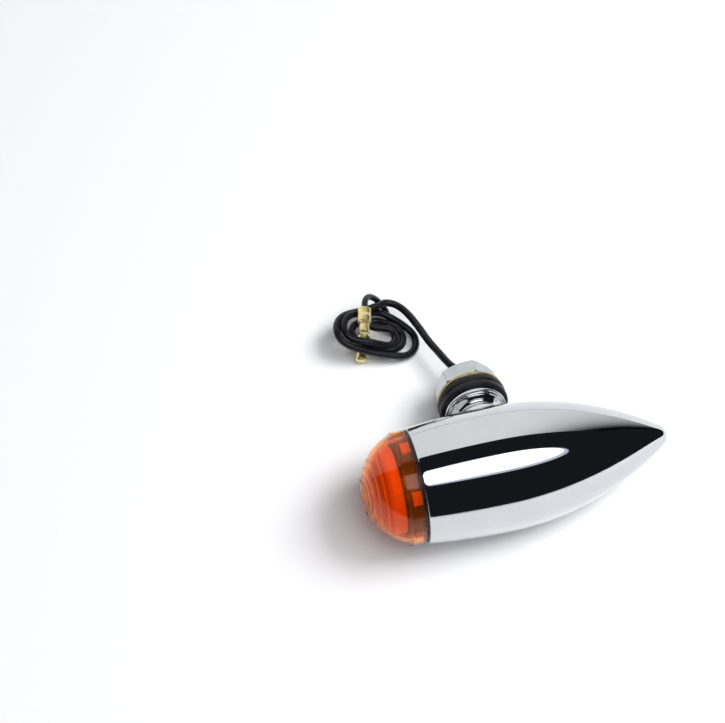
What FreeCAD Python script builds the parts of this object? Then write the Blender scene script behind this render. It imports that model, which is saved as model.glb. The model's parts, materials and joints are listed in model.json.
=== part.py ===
import FreeCAD, Part
import math
import os

# Bullet turn signal lamp, lying on a table as it does when unpacked: the shell on its widest
# ring, the clamp nut touching the table behind it, the lead coiled beside the nut.
# Millimetres. Lamp frame: +X from the lens joint to the tail, +Y along the mounting stem.
# Row frame: +Z up from the table, +X as in the lamp frame, origin under the lamp's middle.

# ---- shell -----------------------------------------------------------------------------
RIM_R = 19.3            # shell radius at the lens joint
MAX_R = 21.0            # shell radius at its widest ring
MAX_X = 28.0            # where the widest ring is, and the stem with it
TAIL_X = 86.5           # tail tip
TIP_R = 4.2             # rounding of the tail tip
WALL = 1.5
MOUTH_R = 17.9          # threaded mouth that takes the lens skirt
SEAT_X = 6.7            # step inside the mouth that the reflector rests on
SEAT_T = 1.5
SEAT_R = 14.4
CORE_END_R = 2.5        # radius where the casting's hollow stops, short of the tip

# ---- lens ------------------------------------------------------------------------------
LENS_TOP_X = -18.5      # crown of the lens
BAND_END_X = -5.6       # where the straight band turns into the dome
BAND_R = 18.9
DOME_BASE_R = 18.3
LENS_WALL = 1.8
SKIRT_R = 17.35
SKIRT_END_X = 4.4
SKIRT_WALL = 1.3
THREAD_R = 17.82        # crest of the skirt's thread
LENS_PITCH = 2.0
LENS_TRAVEL = 4.4       # unscrewing distance that frees the skirt
GASKET_T = 1.2
GASKET_R = 19.15
GASKET_IN_R = 17.95

# ---- reflector and its screws --------------------------------------------------------------
REFLECTOR_T = 1.0
REFLECTOR_R = 17.7
DISH_R = 14.2
COLLAR_X = 13.6
COLLAR_R = 8.85
COLLAR_OUT_R = 10.6
SCREW_PCR = 16.0        # radius of the screw circle
SCREW_COUNT = 3
SCREW_R = 1.0
SCREW_HEAD_R = 1.7
SCREW_HEAD_T = 1.1
SCREW_LEN = 3.6
SCREW_GAP = 0.03

# ---- bulb, bayonet holder and contacts ----------------------------------------------------
GLASS_R = 9.0
GLASS_X = 2.0           # centre of the round glass
GLASS_T = 0.6
NECK_R = 6.3
NECK_END_X = 15.5
CAP_R = 7.5
CAP_X = 11.5
CAP_END_X = 27.0
PIN_X = 20.5            # the cap's two bayonet pins
PIN_R = 1.0
PIN_REACH = 8.6
CONTACT_X = 28.0        # tip of the bulb's solder contact
PUSH = 1.5              # how far the bulb pushes in before it can be turned
HOLDER_IN_R = 7.65
HOLDER_R = 8.75
HOLDER_X = 12.6
HOLDER_END_X = 35.0
HOLDER_FLANGE_R = 10.2
SLOT_W = 2.3
SLOT_TURN = 28.0        # degrees from the entry slot to the locking pocket
INSULATOR_X = 33.0
PLUNGER_HEAD_R = 2.6
PLUNGER_HEAD_T = 1.2
PLUNGER_R = 1.2
PLUNGER_END_X = 36.6
SPRING_R = 1.85
SPRING_WIRE_R = 0.25
SPRING_TURNS = 3
EYELET_T = 0.4

# ---- stem, hollow stud and clamp ------------------------------------------------------------
STUD_R = 6.0            # M12 crest radius
STUD_BORE_R = 3.2
STUD_PITCH = 1.75
STUD_ROOT = 0.9         # thread depth
STUD_IN = 12.3          # inner end, measured from the lamp's axis
STUD_OUT = 43.5
STUD_CHAMFER = 0.8
BOSS_R = 8.8            # flat seat inside the shell for the spring washer
BOSS_Y = 17.3
SPRING_WASHER_T = 1.1
SPRING_WASHER_R = 8.2
THIN_NUT_AF = 16.0
THIN_NUT_T = 3.0
FLANGE_Y = 28.0         # face of the stem's flange
FLANGE_R = 10.9
FLANGE_T = 1.5
NECK_STEM_R = 7.3
FOOT_R = 9.6
RUBBER_R = 12.25
RUBBER_T = 2.6
RUBBER_ROUND = 0.9
FLAT_WASHER_R = 12.0
FLAT_WASHER_T = 1.2
LOCK_WASHER_R = 10.7
LOCK_WASHER_T = 1.0
LOCK_TEETH = 16
NUT_AF = 19.0
NUT_T = 6.8
NUT_TURN = 15.0         # degrees that the nut's first corner stands from straight down
NUT_GAP = 0.06          # running clearance of nut and washers on the stud
CLAMP_TRAVEL = 5.0      # thickest bracket that the clamp takes

# ---- lead ------------------------------------------------------------------------------------
CABLE_R = 1.35
WIRE_R = 0.65           # the two wires inside the stud
WIRE_OFF = 0.75         # how far each stands from the stud's axis
TAIL_WIRE_R = 1.15
CABLE_IN = 38.5         # where the cable starts inside the stud
BUSH_T = 1.0
BUSH_R = 4.4
COIL_CENTRE = (-30.0, 59.8)
COIL_TURN = -19.0       # degrees from +X to the coil's long axis
COIL_TILT = 16.5        # its far end is propped up on the lower plug
COIL_ARC_R = 7.0
COIL_STRAIGHT = 13.0
COIL_TUBE_R = 2.9
LIVE_TIP = (-36.7, 53.6, 14.3)
LIVE_POINTS = (-0.226, -0.974, 0.0)
EARTH_TIP = (-39.1, 49.4, 2.5)
EARTH_POINTS = (-0.33, -0.944, 0.0)
BULLET_R = 1.95
BULLET_L = 3.9
BARREL_R = 2.45
BARREL_L = 7.3
BULLET_NECK_R = 1.5
BULLET_NECK_L = 0.6

X_AXIS = FreeCAD.Vector(1, 0, 0)
Y_AXIS = FreeCAD.Vector(0, 1, 0)
Z_AXIS = FreeCAD.Vector(0, 0, 1)
ORIGIN = FreeCAD.Vector(0, 0, 0)


# ---- derived sizes ---------------------------------------------------------------------------
def clamp_stations():
    """Distances from the lamp's axis to each face of the clamp stack, from the flange outwards."""
    stations = [FLANGE_Y]
    for thickness in (RUBBER_T, RUBBER_T, FLAT_WASHER_T, LOCK_WASHER_T, NUT_T):
        stations.append(stations[-1] + thickness)
    return stations


INNER_RUBBER_Y, OUTER_RUBBER_Y, FLAT_WASHER_Y, LOCK_WASHER_Y, NUT_Y, NUT_END_Y = clamp_stations()
NUT_CORNER_R = NUT_AF / math.sqrt(3)
NUT_CHAMFER = 1.2
# The lamp leans about its own axis until the nut's lowest corner meets the table.
CORNER_OUT = NUT_END_Y - NUT_CHAMFER
CORNER_DOWN = NUT_CORNER_R * math.cos(math.radians(NUT_TURN))
DIP = math.degrees(math.asin(MAX_R / math.hypot(CORNER_OUT, CORNER_DOWN)) - math.atan2(CORNER_DOWN, CORNER_OUT))
STUD_END_R = STUD_R - STUD_CHAMFER
Y_MAX = STUD_OUT * math.cos(math.radians(DIP)) + STUD_END_R * math.sin(math.radians(DIP))
Y_MID = (Y_MAX - MAX_R) / 2
X_MID = (TAIL_X + LENS_TOP_X) / 2


def lamp_to_row():
    """Placement that lays the lamp frame on the table, in the row frame."""
    lean = FreeCAD.Rotation(X_AXIS, -DIP)
    return FreeCAD.Placement(FreeCAD.Vector(-X_MID, -Y_MID, MAX_R), lean)


def row_point(x, y, z=0.0):
    """A point of the lamp frame, in the row frame."""
    return lamp_to_row().multVec(FreeCAD.Vector(x, y, z))


# ---- shape helpers -----------------------------------------------------------------------------
def outline(*steps):
    """Closed outline in the XY plane. A step is a corner (x, y), or an arc as (middle, end)."""
    start = FreeCAD.Vector(*steps[0], 0)
    here = start
    edges = []
    for step in steps[1:]:
        if isinstance(step[0], tuple):
            middle = FreeCAD.Vector(*step[0], 0)
            end = FreeCAD.Vector(*step[1], 0)
            edges.append(Part.Arc(here, middle, end).toShape())
        else:
            end = FreeCAD.Vector(*step, 0)
            edges.append(Part.LineSegment(here, end).toShape())
        here = end
    if (here - start).Length > 1e-6:
        edges.append(Part.LineSegment(here, start).toShape())
    return Part.Face(Part.Wire(edges))


def about_lamp(*steps):
    """Solid of revolution about the lamp's axis from an outline in (x, radius)."""
    return outline(*steps).revolve(ORIGIN, X_AXIS, 360)


def about_stem(*steps):
    """Solid of revolution about the stem's axis from an outline in (radius, y)."""
    solid = outline(*steps).revolve(ORIGIN, Y_AXIS, 360)
    solid.translate(FreeCAD.Vector(MAX_X, 0, 0))
    return solid


def ring_x(x0, x1, outer, inner):
    """Plain ring about the lamp's axis."""
    return about_lamp((x0, inner), (x0, outer), (x1, outer), (x1, inner))


def ring_y(y0, y1, outer, inner):
    """Plain ring about the stem's axis."""
    return about_stem((inner, y0), (outer, y0), (outer, y1), (inner, y1))


def rod_x(x0, x1, radius, y=0.0, z=0.0):
    return Part.makeCylinder(radius, x1 - x0, FreeCAD.Vector(x0, y, z), X_AXIS)


def arc_point(centre_y, radius, x):
    """Point at x on an arc centred under the widest ring."""
    return (x, centre_y + math.sqrt(radius ** 2 - (x - MAX_X) ** 2))


# The shell's outline is two arcs that share a level tangent at the widest ring.
RISE = MAX_R - RIM_R
FRONT_ARC_R = (MAX_X ** 2 + RISE ** 2) / (2 * RISE)
REAR_RUN = TAIL_X - TIP_R - MAX_X
REAR_ARC_R = (REAR_RUN ** 2 + MAX_R ** 2 - TIP_R ** 2) / (2 * (MAX_R - TIP_R))


# ---- shell -------------------------------------------------------------------------------------
def shell_outside():
    """The shell's outer form as a full solid."""
    front_y = MAX_R - FRONT_ARC_R
    rear_y = MAX_R - REAR_ARC_R
    slope = math.atan2(-rear_y, REAR_RUN)
    tip_x = TAIL_X - TIP_R
    join = (tip_x + TIP_R * math.cos(slope), TIP_R * math.sin(slope))
    tip_middle = (tip_x + TIP_R * math.cos(slope / 2), TIP_R * math.sin(slope / 2))
    return about_lamp(
        (0, 0),
        (0, RIM_R),
        (arc_point(front_y, FRONT_ARC_R, MAX_X / 2), (MAX_X, MAX_R)),
        (arc_point(rear_y, REAR_ARC_R, (MAX_X + join[0]) / 2), join),
        (tip_middle, (TAIL_X, 0)),
    )


def shell_hollow():
    """The space inside the shell, behind the reflector's seat."""
    front_y = MAX_R - FRONT_ARC_R
    rear_y = MAX_R - REAR_ARC_R
    front_r = FRONT_ARC_R - WALL
    rear_r = REAR_ARC_R - WALL
    start_x = SEAT_X + SEAT_T
    end_x = MAX_X + math.sqrt(rear_r ** 2 - (CORE_END_R - rear_y) ** 2)
    return about_lamp(
        (start_x, 0),
        arc_point(front_y, front_r, start_x),
        (arc_point(front_y, front_r, (start_x + MAX_X) / 2), (MAX_X, MAX_R - WALL)),
        (arc_point(rear_y, rear_r, (MAX_X + end_x) / 2), (end_x, CORE_END_R)),
        (end_x, 0),
    )


def housing_shell():
    shell = shell_outside().cut(shell_hollow())
    shell = shell.cut(rod_x(-1, SEAT_X, MOUTH_R))
    shell = shell.cut(rod_x(SEAT_X - 1, SEAT_X + SEAT_T + 1, SEAT_R))
    boss = ring_y(BOSS_Y, MAX_R, BOSS_R, 0).common(shell_outside())
    shell = shell.fuse(boss).cut(ring_y(BOSS_Y - 1, MAX_R + 1, STUD_R, 0))
    for angle in screw_angles():
        shell = shell.cut(screw_rod(angle, SEAT_X - 1, SEAT_X + SEAT_T + 1, SCREW_R + SCREW_GAP))
    return shell.removeSplitter()


# ---- lens and gasket --------------------------------------------------------------------------
def dome_arc(inset):
    """Middle and end points of the dome's arc, from the band to the crown, at an inset."""
    height = BAND_END_X - LENS_TOP_X
    radius = (DOME_BASE_R ** 2 + height ** 2) / (2 * height)
    centre_x = LENS_TOP_X + radius
    base_angle = math.asin(DOME_BASE_R / radius)
    half = base_angle / 2
    inner = radius - inset
    middle = (centre_x - inner * math.cos(half), inner * math.sin(half))
    return middle, (centre_x - inner, 0), centre_x, inner


def lens():
    middle, crown, _, _ = dome_arc(0)
    in_middle, in_crown, centre_x, inner = dome_arc(LENS_WALL)
    in_base_x = centre_x - math.sqrt(inner ** 2 - (SKIRT_R - SKIRT_WALL) ** 2)
    skirt_in_r = SKIRT_R - SKIRT_WALL
    body = about_lamp(
        crown,
        (middle, (BAND_END_X, DOME_BASE_R)),
        (BAND_END_X, BAND_R - 0.2),
        (-GASKET_T, BAND_R),
        (-GASKET_T, SKIRT_R),
        (SKIRT_END_X, SKIRT_R),
        (SKIRT_END_X, skirt_in_r),
        (in_base_x, skirt_in_r),
        (in_middle, in_crown),
    )
    for turn in range(2):
        x = SKIRT_END_X - 1.0 - turn * LENS_PITCH
        body = body.fuse(about_lamp((x - 0.6, SKIRT_R - 0.1), (x, THREAD_R), (x + 0.6, SKIRT_R - 0.1)))
    return body.removeSplitter()


def lens_gasket():
    return ring_x(-GASKET_T, 0, GASKET_R, GASKET_IN_R)


# ---- reflector ------------------------------------------------------------------------------
def screw_angles():
    return [90 + index * 360 / SCREW_COUNT for index in range(SCREW_COUNT)]


def screw_rod(angle, x0, x1, radius):
    """Cylinder along the lamp's axis, standing on the screw circle."""
    y = SCREW_PCR * math.cos(math.radians(angle))
    z = SCREW_PCR * math.sin(math.radians(angle))
    return rod_x(x0, x1, radius, y, z)


def reflector():
    face_x = SEAT_X - REFLECTOR_T
    dish_middle = (face_x + 4.6, 12.9)
    back_middle = (face_x + 5.5, 13.1)
    dish = about_lamp(
        (face_x, REFLECTOR_R),
        (face_x, DISH_R),
        (dish_middle, (COLLAR_X, COLLAR_OUT_R)),
        (COLLAR_X, COLLAR_R),
        (COLLAR_X + REFLECTOR_T, COLLAR_R),
        (COLLAR_X + REFLECTOR_T, COLLAR_OUT_R + 0.4),
        (back_middle, (SEAT_X, DISH_R)),
        (SEAT_X, REFLECTOR_R),
    )
    for angle in screw_angles():
        dish = dish.cut(screw_rod(angle, face_x - 1, SEAT_X + 0.5, SCREW_R + 0.25))
    return dish


def reflector_screws():
    """Three pan-head screws with a driver slot each."""
    face_x = SEAT_X - REFLECTOR_T
    screws = []
    for angle in screw_angles():
        head = screw_rod(angle, face_x - SCREW_HEAD_T, face_x, SCREW_HEAD_R)
        shank = screw_rod(angle, face_x - 0.1, face_x - 0.1 + SCREW_LEN, SCREW_R)
        slot = Part.makeBox(0.5, 2 * SCREW_HEAD_R + 1, 0.5)
        y = SCREW_PCR * math.cos(math.radians(angle))
        z = SCREW_PCR * math.sin(math.radians(angle))
        slot.translate(FreeCAD.Vector(face_x - SCREW_HEAD_T - 0.1, y - SCREW_HEAD_R - 0.5, z - 0.25))
        screws.append(head.fuse(shank).cut(slot).removeSplitter())
    return Part.makeCompound(screws)


# ---- bulb ---------------------------------------------------------------------------------------
def bulb_glass():
    join_x = GLASS_X + math.sqrt(GLASS_R ** 2 - NECK_R ** 2)
    inner_r = GLASS_R - GLASS_T
    inner_neck = NECK_R - GLASS_T
    inner_join_x = GLASS_X + math.sqrt(inner_r ** 2 - inner_neck ** 2)
    return about_lamp(
        (GLASS_X - GLASS_R, 0),
        ((GLASS_X, GLASS_R), (join_x, NECK_R)),
        (NECK_END_X, NECK_R),
        (NECK_END_X, inner_neck),
        (inner_join_x, inner_neck),
        ((GLASS_X, inner_r), (GLASS_X - inner_r, 0)),
    )


def bulb_stem():
    """Pinched glass that carries the filament posts."""
    return about_lamp((9.5, 0), (9.5, 1.2), (13.6, 2.4), (14.6, 5.6), (NECK_END_X, 5.6), (NECK_END_X, 0))


def bulb_filament():
    """Two posts and the coiled filament between their tips."""
    tip_x = GLASS_X + 0.4
    posts = [Part.makeCylinder(0.2, 15.4 - tip_x, FreeCAD.Vector(tip_x, 0, side * 2.0), X_AXIS) for side in (-1, 1)]
    bar = Part.makeCylinder(0.35, 4.0, FreeCAD.Vector(tip_x + 0.2, 0, -2.0), Z_AXIS)
    return posts[0].fuse(posts[1]).fuse(bar).cut(bulb_stem())


def bulb_cap():
    shoulder_x = CAP_END_X - 1.5
    cap = about_lamp(
        (CAP_X, NECK_R),
        (CAP_X, CAP_R),
        (shoulder_x, CAP_R),
        (CAP_END_X, CAP_R - 1.5),
        (CAP_END_X, 2.6),
        (CAP_END_X - 1.4, 2.6),
        (CAP_END_X - 1.4, CAP_R - 2.2),
        (shoulder_x - 0.6, NECK_R),
    )
    pins = Part.makeCylinder(PIN_R, 2 * PIN_REACH, FreeCAD.Vector(PIN_X, 0, -PIN_REACH), Z_AXIS)
    pins = pins.cut(rod_x(CAP_X, CAP_END_X, NECK_R + 0.4))
    return cap.fuse(pins).removeSplitter()


def bulb_base_insulator():
    return about_lamp((CAP_END_X - 1.4, 0), (CAP_END_X - 1.4, 2.6), (CAP_END_X + 0.2, 2.6), (CAP_END_X + 0.2, 0))


def bulb_contact():
    top_x = CAP_END_X + 0.2
    return about_lamp((top_x, 0), (top_x, 1.7), (CONTACT_X - 0.2, 1.4), (CONTACT_X, 0.9), (CONTACT_X, 0))


# ---- bulb holder and contacts ---------------------------------------------------------------
def bayonet_slot():
    """Entry slot, turning channel and locking pocket for the pin at +Z."""
    lip_x = PIN_X - PIN_R - 0.1
    far_x = PIN_X + PIN_R + PUSH + 0.2
    reach = HOLDER_FLANGE_R + 1
    pocket = Part.makeBox(far_x - lip_x, SLOT_W, reach, FreeCAD.Vector(lip_x, -SLOT_W / 2, 0))
    entry = Part.makeBox(far_x - HOLDER_X + 1, SLOT_W, reach, FreeCAD.Vector(HOLDER_X - 1, -SLOT_W / 2, 0))
    entry.rotate(ORIGIN, X_AXIS, SLOT_TURN)
    channel_x = lip_x + PUSH
    profile = Part.makePolygon([
        FreeCAD.Vector(channel_x, 0, 0),
        FreeCAD.Vector(channel_x, 0, reach),
        FreeCAD.Vector(far_x, 0, reach),
        FreeCAD.Vector(far_x, 0, 0),
        FreeCAD.Vector(channel_x, 0, 0),
    ])
    channel = Part.Face(profile).revolve(ORIGIN, X_AXIS, SLOT_TURN)
    slot = pocket.fuse(entry).fuse(channel)
    return slot.cut(rod_x(HOLDER_X - 2, far_x + 1, HOLDER_IN_R - 1))


def bulb_holder():
    sleeve = ring_x(HOLDER_X, HOLDER_END_X, HOLDER_R, HOLDER_IN_R)
    flange = ring_x(HOLDER_X, COLLAR_X, HOLDER_FLANGE_R, HOLDER_R - 0.1)
    holder = sleeve.fuse(flange)
    slot = bayonet_slot()
    holder = holder.cut(slot)
    slot.rotate(ORIGIN, X_AXIS, 180)
    return holder.cut(slot).removeSplitter()


def contact_insulator():
    disc = ring_x(INSULATOR_X, HOLDER_END_X, HOLDER_IN_R, PLUNGER_R + 0.1)
    tag_way = Part.makeBox(3, 0.9, 2.2, FreeCAD.Vector(INSULATOR_X - 0.5, 2.75, -1.1))
    return disc.cut(tag_way)


def live_tag():
    """Eyelet under the spring, with a tag that passes through the insulator."""
    eyelet = ring_x(INSULATOR_X - EYELET_T, INSULATOR_X, 3.6, PLUNGER_R + 0.1)
    tag = Part.makeBox(3.6, 0.6, 1.8, FreeCAD.Vector(INSULATOR_X - EYELET_T, 2.9, -0.9))
    return eyelet.fuse(tag).removeSplitter()


def contact_plunger():
    head_end = CONTACT_X + PLUNGER_HEAD_T
    return about_lamp(
        (CONTACT_X, 0),
        (CONTACT_X, PLUNGER_HEAD_R - 0.4),
        (CONTACT_X + 0.4, PLUNGER_HEAD_R),
        (head_end, PLUNGER_HEAD_R),
        (head_end, PLUNGER_R),
        (PLUNGER_END_X, PLUNGER_R),
        (PLUNGER_END_X, 0),
    )


def contact_spring():
    """Coil spring between the plunger's head and the eyelet."""
    start_x = CONTACT_X + PLUNGER_HEAD_T + SPRING_WIRE_R
    end_x = INSULATOR_X - EYELET_T - SPRING_WIRE_R
    rise = end_x - start_x
    helix = Part.makeHelix(rise / SPRING_TURNS, rise, SPRING_R)
    circle = Part.Wire(Part.makeCircle(SPRING_WIRE_R, FreeCAD.Vector(SPRING_R, 0, 0), Y_AXIS))
    spring = Part.Wire(helix).makePipeShell([circle], True, True)
    spring.rotate(ORIGIN, Y_AXIS, 90)
    spring.translate(FreeCAD.Vector(start_x, 0, 0))
    return spring


def earth_tag():
    """Tag brazed on the holder's sleeve, on the stem's side."""
    return Part.makeBox(5.0, 0.6, 2.4, FreeCAD.Vector(24.0, HOLDER_R - 0.08, -1.2)).cut(
        rod_x(HOLDER_X, HOLDER_END_X, HOLDER_R))


# ---- bent wires and cables ---------------------------------------------------------------------
def bend_radius(before, corner, after):
    """Radius of the arc that rounds a corner of a route: 0.45 of the shorter run, over tan."""
    a = before - corner
    b = after - corner
    half_turn = (math.pi - a.getAngle(b)) / 2
    return 0.45 * min(a.Length, b.Length) / math.tan(half_turn)


def rounded_path(points):
    """Straight runs joined by tangent arcs, as one wire."""
    edges = []
    here = points[0]
    for before, corner, after in zip(points, points[1:], points[2:]):
        trim = 0.45 * min((before - corner).Length, (after - corner).Length)
        into = corner + (before - corner).normalize() * trim
        out = corner + (after - corner).normalize() * trim
        radius = bend_radius(before, corner, after)
        bisector = ((into - corner) + (out - corner)).normalize()
        middle = corner + bisector * (math.hypot(radius, trim) - radius)
        edges.append(Part.LineSegment(here, into).toShape())
        edges.append(Part.Arc(into, middle, out).toShape())
        here = out
    edges.append(Part.LineSegment(here, points[-1]).toShape())
    return Part.Wire(edges)


def tube(points, radius):
    """Round tube that follows a route's rounded path."""
    path = rounded_path(points)
    start = Part.Wire(Part.makeCircle(radius, points[0], points[1] - points[0]))
    return path.makePipeShell([start], True, False), path.Length


def report_route(name, points, radius, solid, length):
    radii = [bend_radius(*corner) for corner in zip(points, points[1:], points[2:])]
    print(name, "length %.1f" % length, "radii", " ".join("%.1f" % value for value in radii))
    ratio = solid.Volume / (math.pi * radius ** 2 * length)
    print(name, "volume over section times length %.4f" % ratio)


def live_wire():
    """From the live tag round the holder's back and out through the stud."""
    points = [
        FreeCAD.Vector(35.2, 4.2, 0), FreeCAD.Vector(38.8, 4.3, 0), FreeCAD.Vector(40.2, 7.8, 0),
        FreeCAD.Vector(36.8, 10.3, 0), FreeCAD.Vector(32.0, 10.0, 0),
        FreeCAD.Vector(MAX_X + WIRE_OFF, 13.2, 0), FreeCAD.Vector(MAX_X + WIRE_OFF, CABLE_IN, 0),
    ]
    return tube(points, WIRE_R)[0]


def earth_wire():
    """From the earth tag on the holder out through the stud."""
    points = [
        FreeCAD.Vector(24.4, 9.95, 0), FreeCAD.Vector(26.4, 10.6, 0),
        FreeCAD.Vector(MAX_X - WIRE_OFF, 13.8, 0), FreeCAD.Vector(MAX_X - WIRE_OFF, CABLE_IN, 0),
    ]
    return tube(points, WIRE_R)[0]


# ---- stem, stud and clamp -------------------------------------------------------------------------
def stem():
    """Trumpet-shaped stem that stands on the shell, with a stepped flange."""
    body = about_stem(
        (STUD_R, 15.0),
        (FOOT_R, 15.0),
        (FOOT_R, 20.2),
        ((NECK_STEM_R + 0.55, 21.8), (NECK_STEM_R, 23.4)),
        ((NECK_STEM_R + 0.5, 24.9), (FLANGE_R - 1.7, 26.0)),
        (FLANGE_R - 1.0, 26.1),
        (FLANGE_R - 1.0, FLANGE_Y - FLANGE_T),
        ((FLANGE_R, FLANGE_Y - FLANGE_T / 2), (FLANGE_R - 0.6, FLANGE_Y)),
        (STUD_R, FLANGE_Y),
    )
    return body.cut(shell_outside())


def mounting_stud():
    """Hollow stud, threaded where the clamp nut runs."""
    thread_from = FLANGE_Y + 0.6
    steps = [
        (STUD_BORE_R, STUD_IN),
        (STUD_END_R, STUD_IN),
        (STUD_R, STUD_IN + STUD_CHAMFER),
        (STUD_R, thread_from),
    ]
    turns = int((STUD_OUT - STUD_CHAMFER - thread_from) / STUD_PITCH)
    for turn in range(turns):
        y = thread_from + turn * STUD_PITCH
        steps.append((STUD_R - STUD_ROOT, y + STUD_PITCH / 2))
        steps.append((STUD_R, y + STUD_PITCH))
    steps += [(STUD_R, STUD_OUT - STUD_CHAMFER), (STUD_END_R, STUD_OUT), (STUD_BORE_R, STUD_OUT)]
    return about_stem(*steps)


def hexagon(across_flats, y0, y1, first_corner):
    """Hexagonal bar along the stem; first_corner is in degrees from straight down."""
    corner_r = across_flats / math.sqrt(3)
    corners = []
    for index in range(7):
        angle = math.radians(first_corner + 60 * index)
        corners.append(FreeCAD.Vector(MAX_X - corner_r * math.sin(angle), y0, -corner_r * math.cos(angle)))
    return Part.Face(Part.makePolygon(corners)).extrude(Y_AXIS * (y1 - y0))


def chamfer_cone(across_flats, y0, y1):
    """Turned form that bevels a nut's corners on the outer end."""
    corner_r = across_flats / math.sqrt(3) + 0.01
    return about_stem(
        (0, y0), (corner_r, y0), (corner_r, y1 - NUT_CHAMFER), (across_flats / 2 - 0.3, y1), (0, y1))


def stem_nut():
    y1 = BOSS_Y - SPRING_WASHER_T
    y0 = y1 - THIN_NUT_T
    return hexagon(THIN_NUT_AF, y0, y1, 0).cut(ring_y(y0 - 1, y1 + 1, STUD_R, 0))


def stem_spring_washer():
    """Split spring washer between the thin nut and the shell's boss."""
    y0 = BOSS_Y - SPRING_WASHER_T
    split = Part.makeBox(1.0, SPRING_WASHER_T + 2, 4.0, FreeCAD.Vector(MAX_X - 0.5, y0 - 1, STUD_R - 0.5))
    split.rotate(FreeCAD.Vector(MAX_X, y0, STUD_R), Z_AXIS, 25)
    return ring_y(y0, BOSS_Y, SPRING_WASHER_R, STUD_R + 0.2).cut(split)


def rubber_washer(y0):
    """Rubber ring with rounded outer edges."""
    y1 = y0 + RUBBER_T
    inner = STUD_R + NUT_GAP
    edge = RUBBER_R - RUBBER_ROUND
    bulge = RUBBER_ROUND * (1 - math.sqrt(0.5))
    return about_stem(
        (inner, y0),
        (edge, y0),
        ((RUBBER_R - bulge, y0 + bulge), (RUBBER_R, y0 + RUBBER_ROUND)),
        (RUBBER_R, y1 - RUBBER_ROUND),
        ((RUBBER_R - bulge, y1 - bulge), (edge, y1)),
        (inner, y1),
    )


def inner_rubber_washer():
    return rubber_washer(INNER_RUBBER_Y)


def outer_rubber_washer():
    return rubber_washer(OUTER_RUBBER_Y)


def flat_washer():
    return ring_y(FLAT_WASHER_Y, LOCK_WASHER_Y, FLAT_WASHER_R, STUD_R + NUT_GAP + 0.2)


def lock_washer():
    """Toothed lock washer with notches round its rim."""
    washer = ring_y(LOCK_WASHER_Y, NUT_Y, LOCK_WASHER_R, STUD_R + NUT_GAP + 0.2)
    notch = Part.makeBox(
        1.3, LOCK_WASHER_T + 2, 2.6, FreeCAD.Vector(MAX_X - 0.65, LOCK_WASHER_Y - 1, LOCK_WASHER_R - 1.5))
    centre = FreeCAD.Vector(MAX_X, 0, 0)
    for index in range(LOCK_TEETH):
        cutter = notch.copy()
        cutter.rotate(centre, Y_AXIS, index * 360 / LOCK_TEETH)
        washer = washer.cut(cutter)
    return washer


def hex_nut():
    bore = ring_y(NUT_Y - 1, NUT_END_Y + 1, STUD_R + NUT_GAP, 0)
    mouth = about_stem((0, NUT_END_Y - 0.9), (STUD_R, NUT_END_Y - 0.9), (STUD_R + 1.1, NUT_END_Y + 0.2),
                       (0, NUT_END_Y + 0.2))
    nut = hexagon(NUT_AF, NUT_Y, NUT_END_Y, NUT_TURN)
    return nut.common(chamfer_cone(NUT_AF, NUT_Y, NUT_END_Y)).cut(bore).cut(mouth)


def cable_bush():
    """Rubber bush that grips the cable in the stud's outer end."""
    return about_stem(
        (CABLE_R, CABLE_IN),
        (STUD_BORE_R, CABLE_IN),
        (STUD_BORE_R, STUD_OUT),
        (BUSH_R, STUD_OUT),
        (BUSH_R - 0.5, STUD_OUT + BUSH_T),
        (CABLE_R, STUD_OUT + BUSH_T),
    )


# ---- free lead ------------------------------------------------------------------------------------
def stem_axis_point(y):
    return row_point(MAX_X, y)


def lead_route():
    """From inside the bush to the coil, in the row frame."""
    return [
        stem_axis_point(CABLE_IN),
        stem_axis_point(STUD_OUT + 1.8),
        FreeCAD.Vector(-9.0, 37.6, 8.8),
        FreeCAD.Vector(-11.3, 43.2, 8.5),
        FreeCAD.Vector(-12.9, 49.6, 8.1),
        FreeCAD.Vector(-14.8, 56.2, 7.7),
        FreeCAD.Vector(-18.3, 62.2, 7.2),
        FreeCAD.Vector(-24.8, 65.5, 6.2),
    ]


def coil_frame():
    """Placement of the coil's own plane: long axis along its X, propped up at the far end."""
    turn = FreeCAD.Rotation(Z_AXIS, COIL_TURN)
    tilt = FreeCAD.Rotation(Y_AXIS, COIL_TILT)
    rise = (COIL_ARC_R + COIL_STRAIGHT / 2) * math.sin(math.radians(COIL_TILT))
    height = COIL_TUBE_R + 0.05 + rise
    return FreeCAD.Placement(FreeCAD.Vector(*COIL_CENTRE, height), turn.multiply(tilt))


def cable_coil():
    """Oval ring that the coil's turns fill."""
    half = COIL_STRAIGHT / 2
    r = COIL_ARC_R
    edges = [
        Part.LineSegment(FreeCAD.Vector(-half, -r, 0), FreeCAD.Vector(half, -r, 0)).toShape(),
        Part.Arc(FreeCAD.Vector(half, -r, 0), FreeCAD.Vector(half + r, 0, 0), FreeCAD.Vector(half, r, 0)).toShape(),
        Part.LineSegment(FreeCAD.Vector(half, r, 0), FreeCAD.Vector(-half, r, 0)).toShape(),
        Part.Arc(FreeCAD.Vector(-half, r, 0), FreeCAD.Vector(-half - r, 0, 0), FreeCAD.Vector(-half, -r, 0)).toShape(),
    ]
    circle = Part.Wire(Part.makeCircle(COIL_TUBE_R, FreeCAD.Vector(-half, -r, 0), X_AXIS))
    ring = Part.Wire(edges).makePipeShell([circle], True, False)
    ring.Placement = coil_frame()
    return ring


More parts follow.
